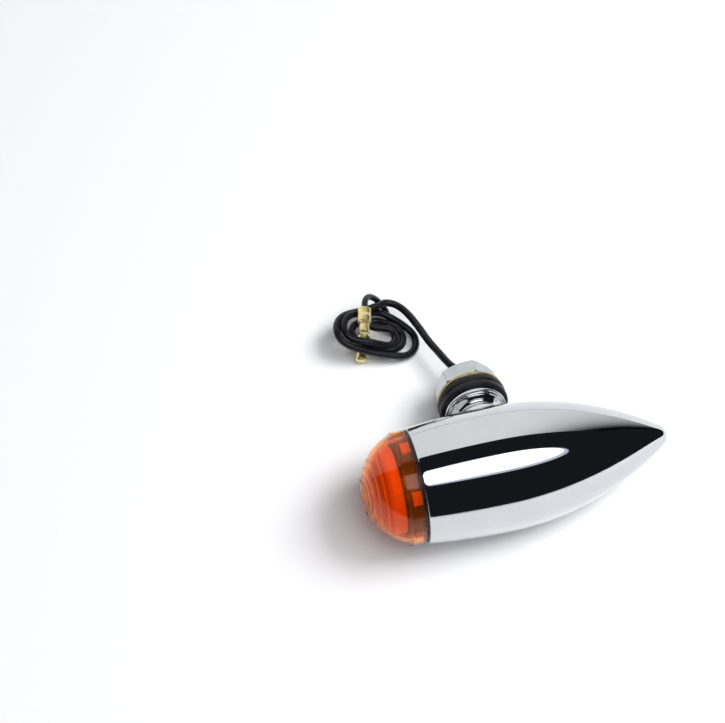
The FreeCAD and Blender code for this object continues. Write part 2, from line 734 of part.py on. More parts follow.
def bullet_plug(tip, direction):
    """Crimped bullet plug from its domed tip back to its barrel."""
    total = BULLET_L + BULLET_NECK_L + BARREL_L
    neck_x = BULLET_L
    barrel_x = BULLET_L + BULLET_NECK_L
    plug = about_lamp(
        (0, 0),
        (0, BULLET_R - 0.9),
        ((0.25, BULLET_R - 0.25), (0.9, BULLET_R)),
        (neck_x, BULLET_R),
        (neck_x + 0.2, BULLET_NECK_R),
        (barrel_x - 0.2, BULLET_NECK_R),
        (barrel_x, BARREL_R - 0.3),
        (barrel_x + 0.4, BARREL_R),
        (total - 0.8, BARREL_R),
        (total, BARREL_R - 0.6),
        (total, 0),
    )
    back = FreeCAD.Vector(*direction) * -1
    plug.Placement = FreeCAD.Placement(FreeCAD.Vector(*tip), FreeCAD.Rotation(X_AXIS, back))
    return plug


def plug_back(tip, direction):
    """Centre of a plug's wire end."""
    total = BULLET_L + BULLET_NECK_L + BARREL_L
    return FreeCAD.Vector(*tip) - FreeCAD.Vector(*direction).normalize() * total


def live_plug():
    return bullet_plug(LIVE_TIP, LIVE_POINTS)


def earth_plug():
    return bullet_plug(EARTH_TIP, EARTH_POINTS)


def live_tail_route():
    """Out of the coil, over in a short hump and down into the plug on top of it."""
    back = plug_back(LIVE_TIP, LIVE_POINTS)
    return [
        FreeCAD.Vector(-29.1, 66.9, 6.8),
        FreeCAD.Vector(-26.6, 69.6, 8.6),
        FreeCAD.Vector(-26.4, 71.6, 11.4),
        FreeCAD.Vector(-29.4, 72.8, 14.0),
        FreeCAD.Vector(-32.6, 70.3, 14.7),
        back,
    ]


def earth_tail_route():
    """Up from the plug on the table into the coil's far side."""
    back = plug_back(EARTH_TIP, EARTH_POINTS)
    return [
        back,
        FreeCAD.Vector(-33.2, 64.6, 3.0),
        FreeCAD.Vector(-32.5, 67.6, 6.9),
    ]


# ---- export ----------------------------------------------------------------------------------------
LAMP_NODES = {
    "housing_shell": housing_shell,
    "lens": lens,
    "lens_gasket": lens_gasket,
    "reflector": reflector,
    "reflector_screws": reflector_screws,
    "bulb_glass": bulb_glass,
    "bulb_stem": bulb_stem,
    "bulb_filament": bulb_filament,
    "bulb_cap": bulb_cap,
    "bulb_base_insulator": bulb_base_insulator,
    "bulb_contact": bulb_contact,
    "bulb_holder": bulb_holder,
    "contact_insulator": contact_insulator,
    "contact_plunger": contact_plunger,
    "contact_spring": contact_spring,
    "live_tag": live_tag,
    "earth_tag": earth_tag,
    "live_wire": live_wire,
    "earth_wire": earth_wire,
    "stem": stem,
    "mounting_stud": mounting_stud,
    "stem_nut": stem_nut,
    "stem_spring_washer": stem_spring_washer,
    "inner_rubber_washer": inner_rubber_washer,
    "outer_rubber_washer": outer_rubber_washer,
    "flat_washer": flat_washer,
    "lock_washer": lock_washer,
    "hex_nut": hex_nut,
    "cable_bush": cable_bush,
}
CORD_ROUTES = {
    "lead_cable": (lead_route, CABLE_R),
    "live_tail": (live_tail_route, TAIL_WIRE_R),
    "earth_tail": (earth_tail_route, TAIL_WIRE_R),
}
TABLE_NODES = {
    "cable_coil": cable_coil,
    "live_plug": live_plug,
    "earth_plug": earth_plug,
}


def save(name, shape):
    if not shape.isValid() or shape.Volume <= 0 or not shape.Solids:
        print("PROBLEM", name, shape.isValid(), shape.Volume, len(shape.Solids))
    single = shape.Solids[0] if len(shape.Solids) == 1 else shape
    single.exportStep("parts/" + name + ".step")


def main():
    os.makedirs("parts", exist_ok=True)
    to_row = lamp_to_row()
    for name, build in LAMP_NODES.items():
        shape = build()
        shape.Placement = to_row.multiply(shape.Placement)
        save(name, shape)
    for name, build in TABLE_NODES.items():
        save(name, build())
    for name, (route, radius) in CORD_ROUTES.items():
        points = route()
        solid, length = tube(points, radius)
        report_route(name, points, radius, solid, length)
        save(name, solid)


main()
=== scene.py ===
import json
import math

import bmesh
import bpy
from mathutils import Matrix, Vector


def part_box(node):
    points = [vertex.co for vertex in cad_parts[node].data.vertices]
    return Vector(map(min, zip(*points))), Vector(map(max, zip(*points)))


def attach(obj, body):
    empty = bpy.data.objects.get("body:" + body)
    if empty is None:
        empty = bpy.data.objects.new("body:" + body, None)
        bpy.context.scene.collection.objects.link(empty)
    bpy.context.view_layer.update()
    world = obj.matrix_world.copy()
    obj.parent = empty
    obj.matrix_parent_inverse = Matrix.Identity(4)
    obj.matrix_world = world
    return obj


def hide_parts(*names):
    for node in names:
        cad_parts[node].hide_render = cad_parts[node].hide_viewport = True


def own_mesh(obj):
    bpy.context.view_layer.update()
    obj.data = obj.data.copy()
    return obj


# Bullet turn signal lamp lying on a pale table, its lead coiled beside the clamp nut.
# Shapes are given in millimetres in two frames: the lamp's own, with +X from the lens joint to the
# tail and +Y along the mounting stem, and the row frame that every object ends up in, in metres.
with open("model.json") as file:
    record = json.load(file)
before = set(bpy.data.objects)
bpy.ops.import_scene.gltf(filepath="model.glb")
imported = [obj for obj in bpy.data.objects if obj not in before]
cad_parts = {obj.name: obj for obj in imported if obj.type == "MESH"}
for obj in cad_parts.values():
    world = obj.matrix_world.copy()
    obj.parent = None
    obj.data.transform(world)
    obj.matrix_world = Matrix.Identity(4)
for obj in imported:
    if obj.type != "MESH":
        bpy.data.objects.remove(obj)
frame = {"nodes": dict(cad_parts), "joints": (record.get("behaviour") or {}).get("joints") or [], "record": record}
nodes = frame["nodes"]
joints = {joint["name"]: joint for joint in frame["joints"]}
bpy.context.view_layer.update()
MM = 0.001

# ---- where the lamp lies, from the frame --------------------------------------------------------
shell_low, shell_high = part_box("housing_shell")
lamp_axis = Vector(joints["lens_turn"]["pos_m"])
stem_dir = Vector(joints["clamp_slide"]["axis"])
DIP = math.atan2(-stem_dir.z, stem_dir.y)
LAMP_ORIGIN = Vector((shell_low.x, lamp_axis.y, lamp_axis.z))
LAMP = Matrix.Translation(LAMP_ORIGIN) @ Matrix.Rotation(-DIP, 4, "X") @ Matrix.Scale(MM, 4)
ROW = Matrix.Scale(MM, 4)

# ---- driving sizes of the lamp, as in the part, in mm -------------------------------------------
RIM_R = 19.3
MAX_R = (shell_high.z - shell_low.z) / 2 / MM
MAX_X = (Vector(joints["nut_turn"]["pos_m"]).x - shell_low.x) / MM
TAIL_X = (shell_high.x - shell_low.x) / MM
TIP_R = 4.2
WALL = 1.5
MOUTH_R = 17.9
SEAT_X = 6.7
SEAT_R = 14.4
LENS_TOP_X = -18.5
BAND_END_X = -5.6
BAND_R = 18.9
DOME_BASE_R = 18.3
GASKET_T = 1.2
SKIRT_R = 17.35
SKIRT_IN_R = 16.05
SKIRT_END_X = 4.4
RING_PITCH = 2.2         # of the rings moulded in the lens
STUD_R = 6.0
STUD_BORE_R = 3.2
STUD_PITCH = 1.75
STUD_IN = 12.3
STUD_OUT = 43.5
FLANGE_Y = 28.0
FLANGE_R = 10.9
RUBBER_R = 12.25
RUBBER_T = 2.6
FLAT_WASHER_T = 1.2
FLAT_WASHER_R = 12.0
LOCK_WASHER_T = 1.0
LOCK_WASHER_R = 10.7
NUT_AF = 19.0
NUT_T = 6.8
NUT_TURN = 15.0
BUSH_FACE_Y = 44.5
CABLE_D = 2.7
TAIL_D = 2.3
RUBBER_INNER_Y = FLANGE_Y
RUBBER_OUTER_Y = RUBBER_INNER_Y + RUBBER_T
FLAT_WASHER_Y = RUBBER_OUTER_Y + RUBBER_T
LOCK_WASHER_Y = FLAT_WASHER_Y + FLAT_WASHER_T
NUT_Y = LOCK_WASHER_Y + LOCK_WASHER_T
NUT_END_Y = NUT_Y + NUT_T


def lamp_point(x, y, z=0.0):
    """A point of the lamp frame in row millimetres."""
    return (LAMP @ Vector((x, y, z))) / MM


def new_object(name, data):
    """A scene object that holds this mesh, curve, light or camera."""
    made = bpy.data.objects.new(name, data)
    bpy.context.scene.collection.objects.link(made)
    return made


# ---- camera -------------------------------------------------------------------------------------
CAMERA_TARGET = Vector((-0.03803, 0.05073, 0.0))
CAMERA_YAW = math.radians(12.71)
CAMERA_ELEVATION = math.radians(59.83)
CAMERA_DISTANCE = 0.45
CAMERA_LENS = 60.75


def make_camera():
    """Camera that looks down at the table from the near side, at the photograph's angle."""
    data = bpy.data.cameras.new("camera")
    camera = new_object("camera", data)
    back = Vector((
        -math.sin(CAMERA_YAW) * math.cos(CAMERA_ELEVATION),
        -math.cos(CAMERA_YAW) * math.cos(CAMERA_ELEVATION),
        math.sin(CAMERA_ELEVATION),
    ))
    camera.location = CAMERA_TARGET + back * CAMERA_DISTANCE
    camera.rotation_mode = "QUATERNION"
    camera.rotation_quaternion = (-back).to_track_quat("-Z", "Y")
    data.sensor_width = 36.0
    data.lens = CAMERA_LENS
    data.clip_start = 0.01
    data.clip_end = 50.0
    bpy.context.scene.camera = camera


make_camera()

# ---- cords --------------------------------------------------------------------------------------
# The coil's plane, turned and tilted about the middle of the coil's own solid.
COIL_TURN = math.radians(-19.0)
COIL_TILT = math.radians(16.5)
coil_low, coil_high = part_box("cable_coil")
COIL_CENTRE = (coil_low + coil_high) / 2 / MM
COIL_FRAME = (
    Matrix.Translation(COIL_CENTRE) @ Matrix.Rotation(COIL_TURN, 4, "Z") @ Matrix.Rotation(COIL_TILT, 4, "Y")
)
END_ANGLES = (-70, -35, 0, 35, 70)      # control points round the end of a turn, in degrees
STRAND_PARTS = (0.22, 0.5, 0.78)        # control points along the strand between two ends


def coil_point(a, b, h):
    """A point of the coil's own plane: a to the right, b to the far side, h above it."""
    return COIL_FRAME @ Vector((a, b, h))


# Ends of the loose turns, first left and then right: reach, middle, rounding and height of each end,
# then how far the strand after it bows outwards and how high its middle is.
TURN_ENDS = (
    (15.8, -3.7, 7.3, -0.2, 0.3, -0.9),
    (15.3, -3.0, 6.7, -0.6, 4.2, -1.9),
    (13.4, -2.6, 5.8, 0.5, 0.0, 1.3),
    (6.9, -3.4, 3.9, 0.3, -0.7, -1.2),
    (9.6, -3.1, 4.4, -1.5, 0.2, -1.6),
    (10.2, -2.6, 5.2, -0.7, 0.0, -1.6),
)
TURNS_START = Vector((0.6, 9.2, 1.5))
TURNS_START_RISE = 1.6


def coil_turns():
    """The lead's three loose turns, from the far side round the left end and on."""
    points = []
    strand_from, bow, rise = TURNS_START, 0.0, TURNS_START_RISE
    for index, (reach, middle, rounding, height, next_bow, next_rise) in enumerate(TURN_ENDS):
        side = -1 if index % 2 == 0 else 1
        inner = reach - rounding
        strand_to = Vector((side * inner, middle - side * rounding, height))
        for part in STRAND_PARTS:
            spot = strand_from.lerp(strand_to, part)
            arch = 4 * part * (1 - part)
            spot.y -= side * bow * arch
            spot.z += (rise - (strand_from.z + strand_to.z) / 2) * arch
            points.append(coil_point(*spot))
        for turn in END_ANGLES:
            angle = math.radians(turn)
            a = side * (inner + rounding * math.cos(angle))
            points.append(coil_point(a, middle + side * rounding * math.sin(angle), height))
        strand_from = Vector((side * inner, middle + side * rounding, height))
        bow, rise = next_bow, next_rise
    return points


PLUG_L = 11.8
BARREL_END = 10.5
IN_BARREL = 1.5          # how far a wire's control line goes on inside its plug
LIVE_TIP = Vector((-36.7, 53.6, 14.3))
LIVE_POINTS = Vector((-0.226, -0.974, 0.0)).normalized()
EARTH_TIP = Vector((-39.1, 49.4, 2.5))
EARTH_POINTS = Vector((-0.33, -0.944, 0.0)).normalized()
LIVE_BACK = LIVE_TIP - LIVE_POINTS * PLUG_L
EARTH_BACK = EARTH_TIP - EARTH_POINTS * PLUG_L

LEAD_ROUTE = [
    lamp_point(MAX_X, BUSH_FACE_Y),
    Vector((-6.6, 34.6, 9.0)),
    Vector((-9.0, 37.6, 8.8)),
    Vector((-11.3, 43.2, 8.5)),
    Vector((-13.7, 49.0, 8.1)),
    Vector((-15.6, 55.6, 7.8)),
    Vector((-17.9, 62.2, 7.6)),
    Vector((-21.0, 67.2, 7.6)),
    Vector((-25.2, 69.2, 8.0)),
]
EARTH_END = [
    coil_point(2.9, 3.9, -2.4),
    coil_point(0.4, 4.9, -3.3),
    coil_point(-2.2, 4.3, -4.2),
    coil_point(-3.6, 2.4, -4.9),
    EARTH_BACK - EARTH_POINTS * 1.4,
    EARTH_BACK + EARTH_POINTS * IN_BARREL,
]
TAIL_ROUTE = [
    coil_point(8.6, 0.8, -3.0),
    coil_point(6.8, 2.9, -3.6),
    coil_point(5.4, 5.2, -3.8),
    coil_point(4.0, 7.6, -3.3),
    coil_point(2.1, 9.6, -1.9),
    coil_point(-0.5, 10.6, -0.2),
    coil_point(-3.2, 10.8, 1.7),
    coil_point(-5.7, 9.8, 3.6),
    coil_point(-7.2, 7.6, 4.9),
    LIVE_BACK - LIVE_POINTS * 1.6,
    LIVE_BACK + LIVE_POINTS * IN_BARREL,
]


def cord_curve(name, points, diameter):
    """A smooth cord on a spline with these control points, in row millimetres."""
    data = bpy.data.curves.new(name, "CURVE")
    data.dimensions = "3D"
    spline = data.splines.new("NURBS")
    spline.points.add(len(points) - 1)
    for target, point in zip(spline.points, points):
        target.co = (*(point * MM), 1.0)
    spline.order_u = 3
    spline.use_endpoint_u = True
    spline.resolution_u = 10
    data.bevel_depth = diameter / 2 * MM
    data.bevel_resolution = 7
    data.use_fill_caps = True
    return new_object(name, data)


MAIN_ROUTE = LEAD_ROUTE + coil_turns() + EARTH_END
main_lead = cord_curve("main_lead", MAIN_ROUTE, CABLE_D)
live_lead = cord_curve("live_lead", TAIL_ROUTE, TAIL_D)


# ---- mesh helpers -------------------------------------------------------------------------------
def add_mesh(name, verts, faces, matrix, sharp=32.0):
    """Closed mesh from points in a frame in mm, with edges over an angle left crisp."""
    mesh = bpy.data.meshes.new(name)
    mesh.from_pydata([tuple(matrix @ Vector(v)) for v in verts], [], faces)
    bm = bmesh.new()
    bm.from_mesh(mesh)
    bmesh.ops.recalc_face_normals(bm, faces=bm.faces)
    bm.to_mesh(mesh)
    bm.free()
    mesh.shade_smooth()
    mesh.set_sharp_from_angle(angle=math.radians(sharp))
    return new_object(name, mesh)


def lamp_place(along, radius, angle):
    """Cylindrical coordinates about the X axis, such as the lamp's."""
    return (along, radius * math.cos(angle), radius * math.sin(angle))


def stem_place(along, radius, angle):
    """Cylindrical coordinates about the stem's axis; angle 0 points up."""
    return (MAX_X + radius * math.sin(angle), along, radius * math.cos(angle))


def lathe(name, outline, place, matrix, segments=96, shape=None, sharp=32.0):
    """Turned solid. outline is the section's (along, radius) points in order; radius 0 is a pole.
    shape(along, radius, angle) may move a point of the surface."""
    verts, rings, faces = [], [], []
    for along, radius in outline:
        if radius < 1e-6:
            rings.append([len(verts)])
            verts.append(place(along, 0.0, 0.0))
            continue
        rings.append(list(range(len(verts), len(verts) + segments)))
        for index in range(segments):
            angle = 2 * math.pi * index / segments
            spot = shape(along, radius, angle) if shape else (along, radius)
            verts.append(place(*spot, angle))
    pairs = list(zip(rings, rings[1:]))
    if len(rings[0]) > 1:
        pairs.append((rings[-1], rings[0]))
    for one, two in pairs:
        for index in range(segments):
            after = (index + 1) % segments
            if len(one) == 1 and len(two) == 1:
                continue
            if len(one) == 1:
                faces.append((one[0], two[index], two[after]))
            elif len(two) == 1:
                faces.append((one[index], two[0], one[after]))
            else:
                faces.append((one[index], two[index], two[after], one[after]))
    return add_mesh(name, verts, faces, matrix, sharp)


FILLET_STEPS = 5


def filleted(*corners):
    """Outline with rounded corners. A corner is (along, radius) or (along, radius, rounding)."""
    points = []
    count = len(corners)
    for index, corner in enumerate(corners):
        here = Vector(corner[:2])
        rounding = corner[2] if len(corner) > 2 else 0.0
        before = Vector(corners[index - 1][:2])
        after = Vector(corners[(index + 1) % count][:2])
        if not rounding:
            points.append(tuple(here))
            continue
        to_before, to_after = (before - here).normalized(), (after - here).normalized()
        half = to_before.angle(to_after) / 2
        trim = rounding / math.tan(half)
        centre = here + (to_before + to_after).normalized() * (rounding / math.sin(half))
        start, end = here + to_before * trim - centre, here + to_after * trim - centre
        turn = start.angle_signed(end)
        for step in range(FILLET_STEPS + 1):
            bend = Matrix.Rotation(-turn * step / FILLET_STEPS, 2)
            points.append(tuple(centre + bend @ start))
    return points


def arc(centre, radius, start, end, steps):
    """Points on a circle in (along, radius), from one angle to another in degrees."""
    spots = []
    for step in range(steps + 1):
        angle = math.radians(start + (end - start) * step / steps)
        spots.append((centre[0] + radius * math.cos(angle), centre[1] + radius * math.sin(angle)))
    return spots


# ---- materials ----------------------------------------------------------------------------------
NOISE_ROUGHNESS = 0.55
NOISE_LOW = 0.3          # most of a noise lies between these two
NOISE_HIGH = 0.7


class Shader:
    """A Principled material with a few short-cuts for procedural detail."""

    def __init__(self, name, **settings):
        self.material = bpy.data.materials.new(name)
        self.material.use_nodes = True
        self.tree = self.material.node_tree
        self.shader = self.tree.nodes["Principled BSDF"]
        for key, value in settings.items():
            self.shader.inputs[key.replace("_", " ")].default_value = value
        place = self.tree.nodes.new("ShaderNodeTexCoord")
        self.place = place.outputs["Object"]

    def noise(self, scale, detail):
        """Noise with a scale in features per metre."""
        node = self.tree.nodes.new("ShaderNodeTexNoise")
        node.inputs["Scale"].default_value = scale
        node.inputs["Detail"].default_value = detail
        node.inputs["Roughness"].default_value = NOISE_ROUGHNESS
        self.tree.links.new(self.place, node.inputs["Vector"])
        return node.outputs["Fac"]

    def compute(self, operation, value, second=None):
        """One step of arithmetic on a value."""
        node = self.tree.nodes.new("ShaderNodeMath")
        node.operation = operation
        self.tree.links.new(value, node.inputs[0])
        if second is not None:
            node.inputs[1].default_value = second
        return node.outputs["Value"]

    def ramp(self, value, *stops):
        """Colours at places from 0 to 1."""
        node = self.tree.nodes.new("ShaderNodeValToRGB")
        ramp = node.color_ramp
        while len(ramp.elements) < len(stops):
            ramp.elements.new(0.5)
        for element, (place, colour) in zip(ramp.elements, stops):
            element.position = place
            element.color = (*colour, 1.0)
        self.tree.links.new(value, node.inputs["Fac"])
        return node.outputs["Color"]

    def cloud(self, value, dark, light):
        """Two colours blended by a noise."""
        return self.ramp(value, (NOISE_LOW, dark), (NOISE_HIGH, light))

    def spread(self, value, low, high):
        """A noise carried to the range low to high."""
        node = self.tree.nodes.new("ShaderNodeMapRange")
        node.inputs["From Min"].default_value = NOISE_LOW
        node.inputs["From Max"].default_value = NOISE_HIGH
        node.inputs["To Min"].default_value = low
        node.inputs["To Max"].default_value = high
        self.tree.links.new(value, node.inputs["Value"])
        return node.outputs["Result"]

    def bump(self, value, strength, distance):
        """Relief of this height in metres."""
        node = self.tree.nodes.new("ShaderNodeBump")
        node.inputs["Strength"].default_value = strength
        node.inputs["Distance"].default_value = distance
        self.tree.links.new(value, node.inputs["Height"])
        self.tree.links.new(node.outputs["Normal"], self.shader.inputs["Normal"])

    def link(self, value, socket):
        """Drive a socket of the shader."""
        self.tree.links.new(value, self.shader.inputs[socket])


def chrome(name, tint, rough_low, rough_high, waviness):
    """Bright plating: almost a mirror, with faint haze and a trace of polishing waves."""
    look = Shader(name, Metallic=1.0)
    haze = tuple(channel * 0.96 for channel in tint)
    look.link(look.cloud(look.noise(90.0, 3.0), haze, tint), "Base Color")
    look.link(look.spread(look.noise(900.0, 6.0), rough_low, rough_high), "Roughness")
    look.bump(look.noise(60.0, 2.0), waviness, 0.0006)
    return look.material


def plated(name, dark, light, rough_low, rough_high, grain, distance=0.00003):
    """Zinc or brass: softly clouded colour over a fine grain."""
    look = Shader(name, Metallic=1.0)
    look.link(look.cloud(look.noise(260.0, 6.0), dark, light), "Base Color")
    look.link(look.spread(look.noise(1400.0, 5.0), rough_low, rough_high), "Roughness")
    look.bump(look.noise(3200.0, 4.0), grain, distance)
    return look.material


def passivated(name):
    """Yellow zinc with the drifting gold, green and pink of its passivation film."""
    look = Shader(name, Metallic=1.0)
    colours = (
        (0.30, (0.30, 0.20, 0.09)), (0.44, (0.46, 0.36, 0.18)), (0.54, (0.44, 0.41, 0.26)),
        (0.64, (0.50, 0.33, 0.22)), (0.74, (0.34, 0.24, 0.11)),
    )
    look.link(look.ramp(look.noise(240.0, 3.0), *colours), "Base Color")
    look.link(look.spread(look.noise(1500.0, 5.0), 0.22, 0.4), "Roughness")
    look.bump(look.noise(3000.0, 4.0), 0.25, 0.00003)
    return look.material


def moulded(name, dark, light, rough_low, rough_high, grain, scale=2500.0, **extra):
    """Moulded plastic or rubber with a fine surface grain."""
    look = Shader(name, **extra)
    look.link(look.cloud(look.noise(350.0, 5.0), dark, light), "Base Color")
    look.link(look.spread(look.noise(1200.0, 5.0), rough_low, rough_high), "Roughness")
    look.bump(look.noise(scale, 4.0), grain, 0.00004)
    return look.material


def amber(name, dark, light, clear, rough, gloss):
    """Clear amber acrylic, a little uneven in depth, with a fine orange-peel skin."""
    look = Shader(name, IOR=1.42, Transmission_Weight=clear, Specular_IOR_Level=gloss)
    look.link(look.cloud(look.noise(70.0, 3.0), dark, light), "Base Color")
    look.link(look.spread(look.noise(800.0, 4.0), rough * 0.5, rough * 1.5), "Roughness")
    look.bump(look.noise(500.0, 3.0), 0.12, 0.00004)
    return look.material


def amber_rings_painted_light(name):
    """Amber optic with painted shade and light: each moulded ring runs from painted deep red shade at its riser to
    painted bright orange light, and the optic has a faint painted orange glow.
    """
    # Painted glow: a faint orange emission, though the optic is no lamp.
    look = Shader(name, IOR=1.49, Transmission_Weight=0.1, Specular_IOR_Level=0.3, Emission_Strength=0.15,
                  Emission_Color=(1.0, 0.34, 0.015, 1.0))
    centre = look.tree.nodes.new("ShaderNodeMapping")
    centre.inputs["Location"].default_value = (0.0, -LAMP_ORIGIN.y, -LAMP_ORIGIN.z)
    centre.inputs["Scale"].default_value = (0.0, 1.0, 1.0)
    look.tree.links.new(look.place, centre.inputs["Vector"])
    radius = look.tree.nodes.new("ShaderNodeVectorMath")
    radius.operation = "LENGTH"
    look.tree.links.new(centre.outputs["Vector"], radius.inputs[0])
    phase = look.compute("FRACT", look.compute("DIVIDE", radius.outputs["Value"], RING_PITCH * MM))
    # Painted shade and light by ring: deep red at each riser, bright orange across each ring.
    colours = (
        (0.0, (0.36, 0.008, 0.002)), (0.18, (0.85, 0.06, 0.004)), (0.42, (1.0, 0.42, 0.03)),
        (0.85, (1.0, 0.56, 0.06)), (1.0, (0.45, 0.015, 0.003)),
    )
    look.link(look.ramp(phase, *colours), "Base Color")
    look.link(look.spread(look.noise(800.0, 4.0), 0.1, 0.25), "Roughness")
    look.bump(look.noise(400.0, 3.0), 0.2, 0.00005)
    return look.material


def clear_glass(name):
    """Thin blown glass with a trace of waviness."""
    look = Shader(name, IOR=1.5, Transmission_Weight=1.0)
    look.link(look.cloud(look.noise(120.0, 2.0), (0.96, 0.98, 0.97), (1.0, 1.0, 1.0)), "Base Color")
    look.link(look.spread(look.noise(700.0, 4.0), 0.0, 0.04), "Roughness")
    look.bump(look.noise(220.0, 2.0), 0.08, 0.00005)
    return look.material


CHROME = chrome("chrome_plating", (0.62, 0.63, 0.655), 0.02, 0.045, 0.01)
CHROME_CAST = chrome("chrome_plated_casting", (0.66, 0.67, 0.69), 0.05, 0.1, 0.05)
# Painted shade: the reflector's plating is far darker than the chrome, for the dim inside of the lamp seen through
# the lens.
MIRROR_PAINTED_SHADE = chrome("reflector_mirror_painted_shade", (0.34, 0.31, 0.30), 0.12, 0.22, 0.05)
ZINC = plated("clear_zinc", (0.50, 0.55, 0.56), (0.62, 0.66, 0.67), 0.3, 0.46, 0.2)
YELLOW_ZINC = passivated("yellow_zinc")
DARK_STEEL = plated("dark_steel", (0.06, 0.035, 0.02), (0.2, 0.12, 0.06), 0.3, 0.55, 0.4)
STEEL = plated("steel_wire", (0.42, 0.41, 0.40), (0.6, 0.59, 0.57), 0.25, 0.45, 0.3)
BRASS = plated("brass", (0.78, 0.63, 0.26), (0.95, 0.86, 0.48), 0.3, 0.46, 0.3)
SOLDER = plated("solder", (0.5, 0.5, 0.5), (0.72, 0.72, 0.71), 0.3, 0.5, 0.5, 0.0001)
AMBER = amber("amber_lens", (1.0, 0.25, 0.015), (1.0, 0.36, 0.03), 0.95, 0.02, 0.12)
AMBER_RINGS_PAINTED_LIGHT = amber_rings_painted_light("amber_optic_painted_light")
# Painted light: the lugs get a lighter, nearly opaque copy of the amber, for light caught in them.
AMBER_LUGS_PAINTED_LIGHT = amber("amber_lugs_painted_light", (1.0, 0.52, 0.04), (1.0, 0.70, 0.10), 0.1, 0.15, 0.4)
BULB_GLASS = clear_glass("bulb_glass")
RUBBER = moulded("black_rubber", (0.003, 0.003, 0.004), (0.009, 0.008, 0.010), 0.34, 0.5, 0.35,
                 Specular_IOR_Level=0.35)
SLEEVE = moulded("cable_sleeve", (0.003, 0.003, 0.004), (0.007, 0.007, 0.009), 0.24, 0.36, 0.25, 1500.0,
                 Specular_IOR_Level=0.4)
INSULATOR = moulded("brown_insulator", (0.10, 0.045, 0.02), (0.20, 0.09, 0.04), 0.4, 0.6, 0.3)
# Painted shade: the near-black ring inside the lens band that stands in for the shade there.
PAINTED_SHADE = moulded("painted_shade_ring", (0.010, 0.002, 0.002), (0.024, 0.007, 0.006), 0.35, 0.5, 0.3)
GASKET = moulded("gasket_rubber", (0.018, 0.006, 0.007), (0.05, 0.018, 0.018), 0.2, 0.34, 0.3)

SLOT_LOOKS = {
    "chrome": CHROME, "amber_lens": AMBER, "reflector_plastic": MIRROR_PAINTED_SHADE, "rubber": RUBBER,
    "zinc_steel": ZINC, "yellow_zinc": YELLOW_ZINC, "dark_steel": DARK_STEEL, "steel_wire": STEEL,
    "bulb_glass": BULB_GLASS, "brass": BRASS, "insulator": INSULATOR, "solder": SOLDER, "cable_pvc": SLEEVE,
}


def paint(piece, material):
    """Give the piece this one material."""
    piece.data.materials.clear()
    piece.data.materials.append(material)


def dress_cad_nodes():
    """Every CAD node gets the procedural look of its material slot."""
    for part in frame["record"]["subparts"]:
        node = nodes.get(part["node"])
        if node is None:
            continue
        for slot in node.material_slots:
            slot.material = SLOT_LOOKS[part["material_slot"]]


def finish_piece(piece, body, slot, material, *replaced):
    """Paint a piece, put it on its body, and hide the CAD nodes it stands for. slot is not used."""
    paint(piece, material)
    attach(piece, body)
    if replaced:
        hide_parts(*replaced)
    return piece


# ---- shell --------------------------------------------------------------------------------------
RISE = MAX_R - RIM_R
FRONT_ARC_R = (MAX_X ** 2 + RISE ** 2) / (2 * RISE)
REAR_RUN = TAIL_X - TIP_R - MAX_X
REAR_ARC_R = (REAR_RUN ** 2 + MAX_R ** 2 - TIP_R ** 2) / (2 * (MAX_R - TIP_R))
LIP = 0.35               # rounding of the rim
HOLLOW_END_X = 78.6
HOLLOW_END_R = 2.5


def shell_radius(x, inset=0.0):
    """Radius of the shell's skin, or of its inner face, at a station."""
    arc_r = FRONT_ARC_R if x < MAX_X else REAR_ARC_R
    return MAX_R - arc_r + math.sqrt((arc_r - inset) ** 2 - (x - MAX_X) ** 2)


def shell_outline():
    """Section of the shell, from the lens rim over the skin to the tail and back inside."""
    points = [(SEAT_X, MOUTH_R), (LIP, MOUTH_R), (0.0, MOUTH_R + LIP)]
    points += arc((LIP, RIM_R - LIP), LIP, 180, 95, 4)
    points += [(x, shell_radius(x)) for x in range(1, int(MAX_X))]
    slope = math.degrees(math.atan2(REAR_ARC_R - MAX_R, REAR_RUN))
    points += arc((MAX_X, MAX_R - REAR_ARC_R), REAR_ARC_R, 90, slope, 48)
    points += arc((TAIL_X - TIP_R, 0), TIP_R, slope * 0.9, 0, 10)
    points[-1] = (TAIL_X, 0.0)
    seat_end_x = SEAT_X + WALL
    points += [(HOLLOW_END_X, 0.0), (HOLLOW_END_X, HOLLOW_END_R)]
    points += [(x, shell_radius(x, WALL)) for x in range(int(HOLLOW_END_X) - 2, int(seat_end_x), -4)]
    points += [(seat_end_x, shell_radius(seat_end_x, WALL)), (seat_end_x, SEAT_R), (SEAT_X, SEAT_R)]
    return points


def make_shell():
    """Bullet shell: a thin skin, with the seat that carries the reflector."""
    outline = shell_outline()
    # the section touches the axis at the tail's outside and inside, so its list runs from one to the other
    start = outline.index((TAIL_X, 0.0))
    ordered = outline[start + 1:] + outline[:start + 1]
    shell = lathe("shell_skin", ordered, lamp_place, LAMP, 224, sharp=28.0)
    return finish_piece(shell, "housing", "chrome", CHROME, "housing_shell")


# ---- stem, stud and clamp -----------------------------------------------------------------------
STEM_START_Y = 17.0      # before its foot is fitted to the shell
FOOT_Y = 20.9
FOOT_R = 9.6
NECK_Y = 23.8
NECK_R = 7.3
FLARE_L = 1.9
FLARE_RISE = 1.7
STEP_Y = 25.9
STEP_R = 9.95
RIM_Y = 26.45
SADDLE_SINK = 0.25       # how deep the foot sits in the skin's line


